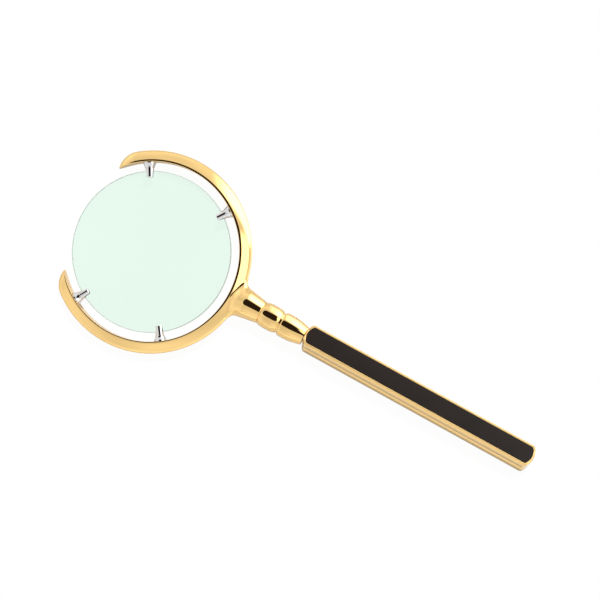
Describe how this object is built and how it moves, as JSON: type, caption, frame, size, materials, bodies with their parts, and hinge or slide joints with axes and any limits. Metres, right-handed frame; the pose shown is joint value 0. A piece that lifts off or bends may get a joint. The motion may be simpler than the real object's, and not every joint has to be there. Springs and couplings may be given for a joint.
{
  "type": "loupe",
  "caption": "Hand loupe: frameless round lens held by slotted posts in an open, pointed bow, on a turned neck and a square bar handle with dark inlays.",
  "frame": {"origin": "Under the middle of the whole loupe's box, on the plane that its lowest edge touches when it lies flat with the bow's plane level.", "axes": "+X runs along the handle, from the lens to the handle's free end. +Z is the lens's axis and points out of the front. +Y runs across the lens."},
  "size_m": [0.1882, 0.0754, 0.0107],
  "materials": {
    "gold_plate": "mirror-polished gold plate on brass",
    "optical_glass": "clear polished optical glass with a faint green tint",
    "polished_steel": "mirror-polished steel",
    "nylon": "natural nylon, matt",
    "plain_steel": "plain turned steel",
    "black_lacquer": "near-black lacquered plate, satin gloss"
  },
  "bodies": {
    "root": {"bow_frame": "gold_plate", "lens": "optical_glass", "lens_post_1": "polished_steel", "lens_post_2": "polished_steel", "lens_post_3": "polished_steel", "lens_post_4": "polished_steel", "post_collar_1": "polished_steel", "post_collar_2": "polished_steel", "post_collar_3": "polished_steel", "post_collar_4": "polished_steel", "lens_cushion_1": "nylon", "lens_cushion_2": "nylon", "lens_cushion_3": "nylon", "lens_cushion_4": "nylon", "neck_bead": "gold_plate", "neck_ferrule": "gold_plate", "tie_stud": "plain_steel", "handle_insert": "plain_steel", "handle_front": "gold_plate", "handle_back": "gold_plate", "front_inlay": "black_lacquer", "back_inlay": "black_lacquer", "handle_screws": "plain_steel"}
  },
  "joints": []
}
